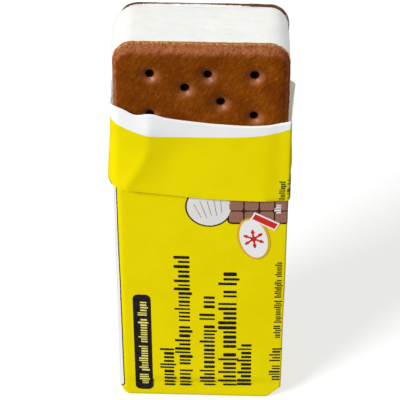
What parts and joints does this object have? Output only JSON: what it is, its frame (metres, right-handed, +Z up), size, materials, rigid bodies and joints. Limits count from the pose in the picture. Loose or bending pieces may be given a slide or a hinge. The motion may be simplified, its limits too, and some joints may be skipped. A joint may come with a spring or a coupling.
{
  "type": "ice cream sandwich",
  "caption": "Ice cream sandwich of chocolate wafers around a vanilla slab, standing in a paper wrapper that is pushed down to a loose cuff.",
  "frame": {"origin": "middle of the wrapper's flat base, on the surface the sandwich stands on", "axes": "+Z up towards the open end, +X to the right seen from the front wafer, -Y out of the front wafer's face"},
  "size_m": [0.0561, 0.0323, 0.1241],
  "materials": {
    "chocolate_wafer": "soft baked crumb, matt with a faint sheen on the rounded edge",
    "vanilla_ice_cream": "smooth frozen cream, softly moist",
    "printed_paper": "thin coated paper, satin"
  },
  "bodies": {
    "root": {"wafer_front": "chocolate_wafer", "ice_cream": "vanilla_ice_cream", "wafer_back": "chocolate_wafer", "wrapper": "printed_paper"}
  },
  "joints": []
}
